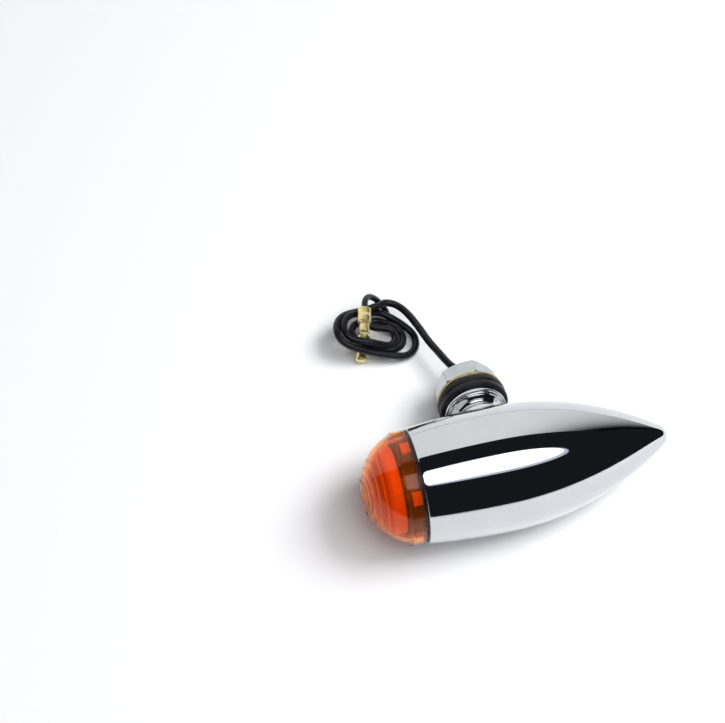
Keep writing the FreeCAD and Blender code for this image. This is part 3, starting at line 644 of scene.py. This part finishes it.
def make_stem():
    """Trumpet stem whose foot follows the shell's skin."""

    def saddle(along, radius, angle):
        """The foot's end drops to the shell's skin."""
        if along > STEM_START_Y + 1:
            return along, radius
        across = radius * math.cos(angle)
        skin = shell_radius(MAX_X + radius * math.sin(angle))
        return math.sqrt(skin ** 2 - across ** 2) - SADDLE_SINK, radius

    outline = [(STEM_START_Y, STUD_R), (STEM_START_Y, FOOT_R), (FOOT_Y, FOOT_R)]
    for t in (0.12, 0.25, 0.4, 0.55, 0.7, 0.85, 1.0):
        radius = FOOT_R - (FOOT_R - NECK_R) * math.sin(math.pi / 2 * t)
        outline.append((FOOT_Y + (NECK_Y - FOOT_Y) * t, radius))
    outline += [(NECK_Y + FLARE_L * t, NECK_R + FLARE_RISE * t ** 2.2) for t in (0.25, 0.5, 0.75, 1.0)]
    outline += filleted((STEP_Y, 9.3, 0.12), (STEP_Y, STEP_R, 0.2), (RIM_Y, STEP_R, 0.12),
                        (RIM_Y, FLANGE_R, 0.35), (FLANGE_Y, FLANGE_R, 0.25), (FLANGE_Y, STUD_R))
    stem = lathe("stem_casting", outline, stem_place, LAMP, 144, saddle, sharp=35.0)
    return finish_piece(stem, "housing", "chrome", CHROME_CAST, "stem")


THREAD_DEPTH = 0.85
THREAD_FROM = FLANGE_Y + 0.4
THREAD_ROW = 0.14        # rows of the stud's mesh along its thread
THREAD_RUN_IN = 1.2


def make_stud():
    """Hollow stud with a true right-hand helical thread."""
    outline = [(STUD_IN, STUD_BORE_R), (STUD_IN, STUD_R - 0.7), (STUD_IN + 0.7, STUD_R),
               (THREAD_FROM, STUD_R)]
    rows = int((STUD_OUT - 0.8 - THREAD_FROM) / THREAD_ROW)
    outline += [(THREAD_FROM + THREAD_ROW * (row + 1), STUD_R) for row in range(rows)]
    outline += [(STUD_OUT - 0.5, STUD_R - 0.5), (STUD_OUT, STUD_R - 0.95), (STUD_OUT, STUD_BORE_R + 0.3),
                (STUD_OUT - 0.3, STUD_BORE_R)]

    def thread(along, radius, angle):
        """Helical groove, which runs in from nothing."""
        if radius < STUD_R - 0.01 or along < THREAD_FROM:
            return along, radius
        phase = ((along - THREAD_FROM) / STUD_PITCH - angle / (2 * math.pi)) % 1.0
        ridge = min(1.0, max(0.0, abs(phase * 2 - 1) * 1.25 - 0.1))
        fade = min(1.0, (along - THREAD_FROM) / THREAD_RUN_IN)
        return along, radius - THREAD_DEPTH * (1 - ridge) * fade

    stud = lathe("threaded_stud", outline, stem_place, LAMP, 72, thread, sharp=45.0)
    return finish_piece(stud, "housing", "zinc_steel", ZINC, "mounting_stud")


def make_rubber(name, start, body, node):
    """Rubber ring, squeezed a little proud between its faces, with a moulding line."""
    end = start + RUBBER_T
    middle = (start + end) / 2
    inner = STUD_R + 0.12
    face_r, side_r = RUBBER_R - 0.35, RUBBER_R - 0.06
    shoulder, line = 0.62, 0.09
    outline = filleted(
        (start, inner), (start, face_r, 0.55), (start + shoulder, side_r, 0.3),
        (middle - line, RUBBER_R, 0.03), (middle, RUBBER_R - line), (middle + line, RUBBER_R, 0.03),
        (end - shoulder, side_r, 0.3), (end, face_r, 0.55), (end, inner))
    ring = lathe(name, outline, stem_place, LAMP, 128, sharp=40.0)
    return finish_piece(ring, body, "rubber", RUBBER, node)


WASHER_BORE_R = STUD_R + 0.3


def make_flat_washer():
    """Punched washer: rolled edge on the rubber's side, sharper edge on the other."""
    start, end = FLAT_WASHER_Y, FLAT_WASHER_Y + FLAT_WASHER_T
    outline = filleted((start, WASHER_BORE_R, 0.12), (start, FLAT_WASHER_R, 0.4), (end, FLAT_WASHER_R, 0.1),
                       (end, WASHER_BORE_R, 0.1))
    washer = lathe("flat_washer_body", outline, stem_place, LAMP, 128)
    return finish_piece(washer, "clamp_stack", "yellow_zinc", YELLOW_ZINC, "flat_washer")


TEETH = 16
TOOTH_ROOT_R = 8.6
TOOTH_TWIST = 0.12       # how far a tooth's edges leave the flat
NOTCH_SHARE = 0.3        # of a tooth's pitch


def make_lock_washer():
    """Toothed washer: each tooth of its rim is twisted out of the flat."""
    start, end = LOCK_WASHER_Y + TOOTH_TWIST, LOCK_WASHER_Y + LOCK_WASHER_T - TOOTH_TWIST

    def toothed(along, radius, angle):
        """Notches between the teeth, and the twist of each tooth."""
        if radius < TOOTH_ROOT_R:
            return along, radius
        phase = (angle * TEETH / (2 * math.pi)) % 1.0
        reach = (radius - TOOTH_ROOT_R) / (LOCK_WASHER_R - TOOTH_ROOT_R)
        if phase < NOTCH_SHARE:
            return along, TOOTH_ROOT_R + 0.25 * reach
        half = (1 - NOTCH_SHARE) / 2
        return along + (phase - NOTCH_SHARE - half) / half * TOOTH_TWIST * reach, radius

    radii = (WASHER_BORE_R, 8.0, TOOTH_ROOT_R, 9.6)
    bevel = 0.05
    edge = LOCK_WASHER_R - bevel
    outline = [(start, radius) for radius in radii] + [(start + bevel, edge), (end - bevel, edge)]
    outline += [(end, radius) for radius in reversed(radii)]
    washer = lathe("tooth_lock_washer", outline, stem_place, LAMP, 320, toothed, sharp=40.0)
    return finish_piece(washer, "clamp_stack", "dark_steel", DARK_STEEL, "lock_washer")


NUT_BEVEL = 0.55
NUT_END_ROWS = (0.0, 0.1, 0.2, 0.32, 0.45, 0.6, 0.8, 1.05, 1.3, 1.7)    # mesh rows from each face
BORE_MESH_R = STUD_R + 0.06
BORE_THREAD_DEPTH = 0.55
BORE_ROW = 0.16          # rows of the nut's mesh along its bore


def make_nut():
    """Hexagon nut: flats meet its bevelled ends in arcs, and its bore is threaded."""
    corner_r = NUT_AF / math.sqrt(3)
    apothem = NUT_AF / 2
    face_r = apothem - 0.31
    first = math.pi + math.radians(NUT_TURN)

    def flat_radius(angle):
        """Radius of the hexagon, its corners a little blunt."""
        turned = (angle - first) % (math.pi / 3) - math.pi / 6
        edge = apothem / math.cos(turned)
        soft = corner_r - 0.16
        return edge if edge < soft else soft + (edge - soft) * 0.25

    def cone(along):
        """Radius of the bevel cones at a station."""
        rise = min(along - NUT_Y, NUT_END_Y - along)
        return apothem - 0.25 + rise / NUT_BEVEL

    def hexed(along, radius, angle):
        """Thread in the bore, and flats and bevels outside."""
        if radius <= BORE_MESH_R:
            phase = (along / STUD_PITCH - angle / (2 * math.pi)) % 1.0
            depth = BORE_THREAD_DEPTH * max(0.0, abs(phase * 2 - 1) - 0.25)
            return along, radius + depth
        if radius <= face_r:
            return along, radius
        return along, min(flat_radius(angle), cone(along), radius)

    rows = [NUT_Y + step for step in NUT_END_ROWS]
    rows += [NUT_Y + 2.2 + 0.4 * step for step in range(6)]
    rows += [NUT_END_Y - step for step in reversed(NUT_END_ROWS)]
    outline = [(NUT_Y, STUD_R + 0.8), (NUT_Y, face_r)]
    outline += [(row, corner_r) for row in rows]
    outline += [(NUT_END_Y, face_r), (NUT_END_Y, STUD_R + 0.95)]
    bore_rows = int((NUT_T - 0.8) / BORE_ROW)
    outline += [(NUT_END_Y - 0.5 - BORE_ROW * row, BORE_MESH_R) for row in range(bore_rows)]
    nut = lathe("hex_nut_body", outline, stem_place, LAMP, 288, hexed, sharp=24.0)
    return finish_piece(nut, "clamp_nut", "zinc_steel", ZINC, "hex_nut")


# ---- lens ---------------------------------------------------------------------------------------
DOME_H = BAND_END_X - LENS_TOP_X
DOME_R = (DOME_BASE_R ** 2 + DOME_H ** 2) / (2 * DOME_H)
DOME_CENTRE_X = LENS_TOP_X + DOME_R
RING_COUNT = 6
RINGS_R = RING_COUNT * RING_PITCH
RING_STEP = 1.25         # riser of each ring of the optic
RING_SWELL = 0.3
RELIEF_DEPTH = 0.18      # of the shallower rings outside the window
WINDOW_T = 1.3
INSIDE_R = 16.6          # of the window's inner dome
BAND_IN_R = 16.9
OPTIC_R = 14.4
OPTIC_T = 3.4
SHADE_R = 15.5
SHADE_X = BAND_END_X - 0.5
SHADE_END_X = -0.5
BEAD_R = 0.62
BEAD_HEIGHT = 0.28
BEAD_RING_R = 5.7
BEAD_COUNT = 18
LUG_COUNT = 6
LUG_WIDTH = math.radians(15.0)
LUG_FIRST = math.radians(22.0)
LUG_X = BAND_END_X + 1.6
LUG_END_X = -0.4
LUG_COLUMNS = 6


def dome_x(radius, inset=0.0):
    """Station of the dome's skin, or of a face under it, at a radius."""
    return DOME_CENTRE_X - math.sqrt((DOME_R - inset) ** 2 - radius ** 2)


def lens_outline():
    """Section of the clear window: dome, straight band and the skirt that screws into the shell."""
    outside = [(dome_x(0.0), 0.0)]
    rows, inside_rows = 110, 32
    base = math.asin(DOME_BASE_R / DOME_R)
    for step in range(1, rows + 1):
        angle = base * step / rows
        outside.append((DOME_CENTRE_X - DOME_R * math.cos(angle), DOME_R * math.sin(angle)))
    outside += filleted((BAND_END_X + 0.05, DOME_BASE_R + 0.02), (BAND_END_X + 0.05, BAND_R - 0.1, 0.25),
                        (-GASKET_T, BAND_R, 0.2), (-GASKET_T, SKIRT_R, 0.1), (SKIRT_END_X, SKIRT_R, 0.3),
                        (SKIRT_END_X, SKIRT_IN_R, 0.3), (0.0, SKIRT_IN_R))[:-1]
    inside = [(-GASKET_T - 0.3, SKIRT_IN_R), (-GASKET_T - 0.6, BAND_IN_R), (BAND_END_X + 0.6, BAND_IN_R)]
    radii = [INSIDE_R * step / inside_rows for step in range(inside_rows, -1, -1)]
    inside += [(dome_x(radius, WINDOW_T), radius) for radius in radii]
    return outside + inside


def optic_outline():
    """Section of the optic: stepped rings towards the window, smooth on the inner side."""
    front = []
    steps, back_rows = 6, 24
    for ring in range(RING_COUNT):
        for step in range(steps + 1):
            share = step / steps
            radius = RING_PITCH * (ring + share)
            tooth = RING_STEP * (1 - share) - RING_SWELL * math.sin(math.pi * share)
            # a riser leans out a little, so that no two points are at one radius
            lean = 0.04 if ring and step == 0 else 0.0
            front.append((dome_x(radius, WINDOW_T + 0.35) + tooth, radius + lean))
    front.append((dome_x(OPTIC_R, WINDOW_T + 0.6), OPTIC_R))
    radii = [OPTIC_R * step / back_rows for step in range(back_rows, -1, -1)]
    return front + [(dome_x(radius, OPTIC_T) + 0.4, radius) for radius in radii]


def beaded(along, radius, angle):
    """Shallow rings moulded in the dome, and small raised beads in a ring near the crown."""
    if along > dome_x(radius) + 0.01 or radius > RINGS_R:
        return along, radius
    along += RELIEF_DEPTH * (0.5 - 0.5 * math.cos(2 * math.pi * radius / RING_PITCH)) ** 2
    if abs(radius - BEAD_RING_R) > BEAD_R:
        return along, radius
    spacing = 2 * math.pi / BEAD_COUNT
    offset = ((angle + spacing / 2) % spacing - spacing / 2) * radius
    gap = math.hypot(offset, radius - BEAD_RING_R)
    if gap >= BEAD_R:
        return along, radius
    return along - BEAD_HEIGHT * math.sqrt(1 - (gap / BEAD_R) ** 2), radius


def make_lens():
    """Clear amber window with its skirt."""
    lens = lathe("lens_window", lens_outline(), lamp_place, LAMP, 288, beaded, sharp=30.0)
    return finish_piece(lens, "lens", "amber_lens", AMBER, "lens")


def make_optic():
    """Ringed amber optic inside the window, with painted ring shade and light and a painted glow."""
    optic = lathe("lens_optic", optic_outline(), lamp_place, LAMP, 192, sharp=22.0)
    return finish_piece(optic, "lens", "amber_lens", AMBER_RINGS_PAINTED_LIGHT)


def make_painted_shade_ring():
    """Painted shade: a dark ring inside the band, behind the lugs, that darkens the band where the lamp's inside
    lies in shade.
    """
    inner = SHADE_R - 1.0
    outline = filleted((SHADE_X, inner), (SHADE_X, SHADE_R, 0.2), (SHADE_END_X, SHADE_R, 0.2),
                       (SHADE_END_X, inner))
    shade = lathe("lens_painted_shade", outline, lamp_place, LAMP, 160, sharp=40.0)
    return finish_piece(shade, "lens", "reflector_plastic", PAINTED_SHADE)


def make_gasket():
    """Gasket between lens and shell: two beads with a groove between them."""
    face, groove, bore = 18.75, 18.35, MOUTH_R + 0.1
    gap, middle = 0.02, -GASKET_T / 2
    outline = filleted((gap - GASKET_T, bore), (gap - GASKET_T, face, 0.22), (middle - 0.12, face, 0.2),
                       (middle - 0.06, groove), (middle + 0.06, groove), (middle + 0.12, face, 0.2),
                       (-gap, face, 0.22), (-gap, bore))
    gasket = lathe("gasket_ring", outline, lamp_place, LAMP, 192, sharp=40.0)
    return finish_piece(gasket, "lens_seal", "rubber", GASKET, "lens_gasket")


def make_lugs():
    """Six moulded lugs round the inside of the straight band, in lighter amber than the window: painted light
    caught in them.
    """
    verts, faces = [], []
    inner_r, outer_r = SHADE_R + 0.05, BAND_IN_R - 0.05
    section = ((LUG_X, inner_r), (LUG_END_X, inner_r), (LUG_END_X, outer_r), (LUG_X, outer_r))
    for lug in range(LUG_COUNT):
        middle = LUG_FIRST + 2 * math.pi * lug / LUG_COUNT
        base = len(verts)
        for column in range(LUG_COLUMNS + 1):
            angle = middle + LUG_WIDTH * (column / LUG_COLUMNS - 0.5)
            verts += [lamp_place(x, radius, angle) for x, radius in section]
        last = base + 4 * LUG_COLUMNS
        for here in range(base, last, 4):
            for side in range(4):
                after = (side + 1) % 4
                faces.append((here + side, here + 4 + side, here + 4 + after, here + after))
        faces.append(tuple(range(base, base + 4)))
        faces.append(tuple(range(last, last + 4)))
    lugs = add_mesh("lens_lugs", verts, faces, LAMP, 40.0)
    return finish_piece(lugs, "lens", "amber_lens", AMBER_LUGS_PAINTED_LIGHT)


# ---- plugs --------------------------------------------------------------------------------------
TIP_OUT_R = 1.95
WAIST_R = 1.6
BARREL_R = 2.45
SEAM = 0.22              # depth of the folded sheet's seam, and half its width
CRIMP_X = 8.4
CRIMP_REACH = 1.1
CRIMP_DEPTH = 0.3


def pressed(along, radius, angle):
    """Flats of a plug's crimp on two sides and the seam of its folded sheet."""
    if along < 0.3 or radius < 1.35:
        return along, radius
    if abs(angle - math.pi / 2) * radius < SEAM:
        radius -= SEAM
    crimp = max(0.0, 1 - abs(along - CRIMP_X) / CRIMP_REACH)
    dent = max(0.0, abs(math.sin(angle)) - 0.6) / 0.4
    return along, radius - CRIMP_DEPTH * crimp * dent


def make_plug(name, tip, direction, node):
    """Folded brass bullet plug: split tip, waist, and a barrel crimped on the wire."""
    turn = Vector((1, 0, 0)).rotation_difference(-direction).to_matrix().to_4x4()
    matrix = ROW @ Matrix.Translation(tip) @ turn
    outline = [(0.25, 0.0), (0.25, 0.8)]
    outline += filleted((0.0, 0.9), (0.0, 1.25, 0.2), (0.75, TIP_OUT_R, 0.5), (3.6, TIP_OUT_R - 0.1, 0.3),
                        (3.95, WAIST_R, 0.2), (4.35, WAIST_R, 0.2), (4.75, BARREL_R, 0.4),
                        (6.9, BARREL_R + 0.05, 1.0), (8.0, BARREL_R - 0.12, 1.0),
                        (BARREL_END, BARREL_R, 0.25), (BARREL_END, 1.1), (PLUG_L, 1.05), (PLUG_L, 0.8))
    outline += [(PLUG_L - 0.1, 0.0)]
    plug = lathe(name, outline, lamp_place, matrix, 96, pressed, 30.0)
    return finish_piece(plug, "housing", "brass", BRASS, node)


# ---- spring behind the bulb ---------------------------------------------------------------------
SPRING_R = 1.85
SPRING_WIRE_D = 0.5
SPRING_TURNS = 3
SPRING_POINTS = 16       # control points in a turn


def make_spring():
    """Contact spring between the plunger and the eyelet."""
    low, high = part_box("contact_spring")
    first = (low.x - shell_low.x) / MM + SPRING_WIRE_D / 2
    last = (high.x - shell_low.x) / MM - SPRING_WIRE_D / 2
    steps = SPRING_TURNS * SPRING_POINTS
    line = []
    for step in range(steps + 1):
        turn = 2 * math.pi * step / SPRING_POINTS
        along = first + (last - first) * step / steps
        line.append(lamp_point(along, SPRING_R * math.cos(turn), SPRING_R * math.sin(turn)))
    wire = cord_curve("spring_wire", line, SPRING_WIRE_D)
    spring = new_object("bulb_spring", bpy.data.meshes.new_from_object(wire))
    bpy.data.objects.remove(wire)
    finish_piece(spring, "housing", "steel_wire", STEEL, "contact_spring")
    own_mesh(spring)


# ---- surroundings -------------------------------------------------------------------------------
FLOOR_SIZE = 6.0
FLOOR_DROP = 0.00005     # keeps the table just under what lies on it
SCREEN_SIZE = (5.0, 2.0)
SCREEN_PLACE = (0.3, 1.05, 1.0)
SCREEN_STRENGTH = 1.0
FADE_START = 0.50        # where the screen's light begins and ends to fade, along its width
FADE_END = 0.91


def plain_surface(name, size, location, rotation, shade):
    """A flat stage piece: the table or a backdrop. Returns it and its material's shader."""
    bm = bmesh.new()
    bmesh.ops.create_grid(bm, x_segments=1, y_segments=1, size=0.5)
    mesh = bpy.data.meshes.new(name)
    bm.to_mesh(mesh)
    bm.free()
    mesh.transform(Matrix.Diagonal((*size, 1, 1)))
    surface = new_object(name, mesh)
    surface.location = location
    surface.rotation_euler = rotation
    look = Shader(name, Roughness=0.9)
    look.shader.inputs["Base Color"].default_value = (shade, shade, shade, 1.0)
    look.shader.inputs["Specular IOR Level"].default_value = 0.0
    paint(surface, look.material)
    return surface, look


def area_light(name, location, target, size, power, colour=None):
    """Soft light. One with a colour is an oval softbox that shows in the plating; the others don't."""
    data = bpy.data.lights.new(name, "AREA")
    data.shape = "ELLIPSE" if colour else "RECTANGLE"
    data.size, data.size_y = size
    data.energy = power
    data.color = colour or (1.0, 1.0, 1.0)
    light = new_object(name, data)
    light.location = location
    light.rotation_euler = (Vector(target) - Vector(location)).to_track_quat("-Z", "Y").to_euler()
    light.visible_glossy = colour is not None


def make_screen():
    """Upright white screen behind the lamp, which fades out to the right."""
    turn = (math.pi / 2, 0, 0)
    screen, look = plain_surface("screen", SCREEN_SIZE, SCREEN_PLACE, turn, 0.02)
    screen.visible_diffuse = False
    split = look.tree.nodes.new("ShaderNodeSeparateXYZ")
    look.tree.links.new(look.place.node.outputs["Generated"], split.inputs["Vector"])
    light = look.ramp(split.outputs["X"], (FADE_START, (1.0, 1.0, 1.0)), (FADE_END, (0.0, 0.0, 0.0)))
    light.node.color_ramp.interpolation = "EASE"
    look.link(light, "Emission Color")
    look.shader.inputs["Emission Strength"].default_value = SCREEN_STRENGTH


def make_stage():
    """Pale table in a dark room, a bright screen behind, and soft lights from above."""
    plain_surface("table", (FLOOR_SIZE, FLOOR_SIZE), (0, 0, -FLOOR_DROP), (0, 0, 0), 0.93)
    make_screen()
    world = bpy.data.worlds.new("studio")
    bpy.context.scene.world = world
    world.use_nodes = True
    background = world.node_tree.nodes["Background"]
    background.inputs["Color"].default_value = (0.012, 0.013, 0.016, 1)
    background.inputs["Strength"].default_value = 1.0
    area_light("softbox", (0.17, -0.28, 1.15), (0.17, 0.0, 0.0), (1.3, 0.6), 3.1, (0.97, 0.985, 1.0))
    area_light("softbox_edge", (0.23, -0.33, 1.17), (0.23, 0.0, 0.0), (1.36, 0.68), 2.0, (0.82, 0.88, 1.0))
    area_light("key", (0.95, 0.02, 1.3), (0, 0, 0), (0.75, 0.75), 20.0)
    area_light("fill", (0.1, -0.8, 2.3), (0, 0, 0), (3.2, 2.8), 28.0)


# ---- assembly -----------------------------------------------------------------------------------
dress_cad_nodes()
make_shell()
make_stem()
make_stud()
make_rubber("rubber_ring_inner", RUBBER_INNER_Y, "housing", "inner_rubber_washer")
make_rubber("rubber_ring_outer", RUBBER_OUTER_Y, "clamp_stack", "outer_rubber_washer")
make_flat_washer()
make_lock_washer()
make_nut()
make_lens()
make_optic()
make_lugs()
make_painted_shade_ring()
make_gasket()
make_spring()
live_plug = make_plug("live_bullet", LIVE_TIP, LIVE_POINTS, "live_plug")
earth_plug = make_plug("earth_bullet", EARTH_TIP, EARTH_POINTS, "earth_plug")
finish_piece(main_lead, "housing", "cable_pvc", SLEEVE, "lead_cable", "cable_coil", "earth_tail")
finish_piece(live_lead, "housing", "cable_pvc", SLEEVE, "live_tail")
make_stage()
bpy.context.scene.view_settings.view_transform = "Standard"
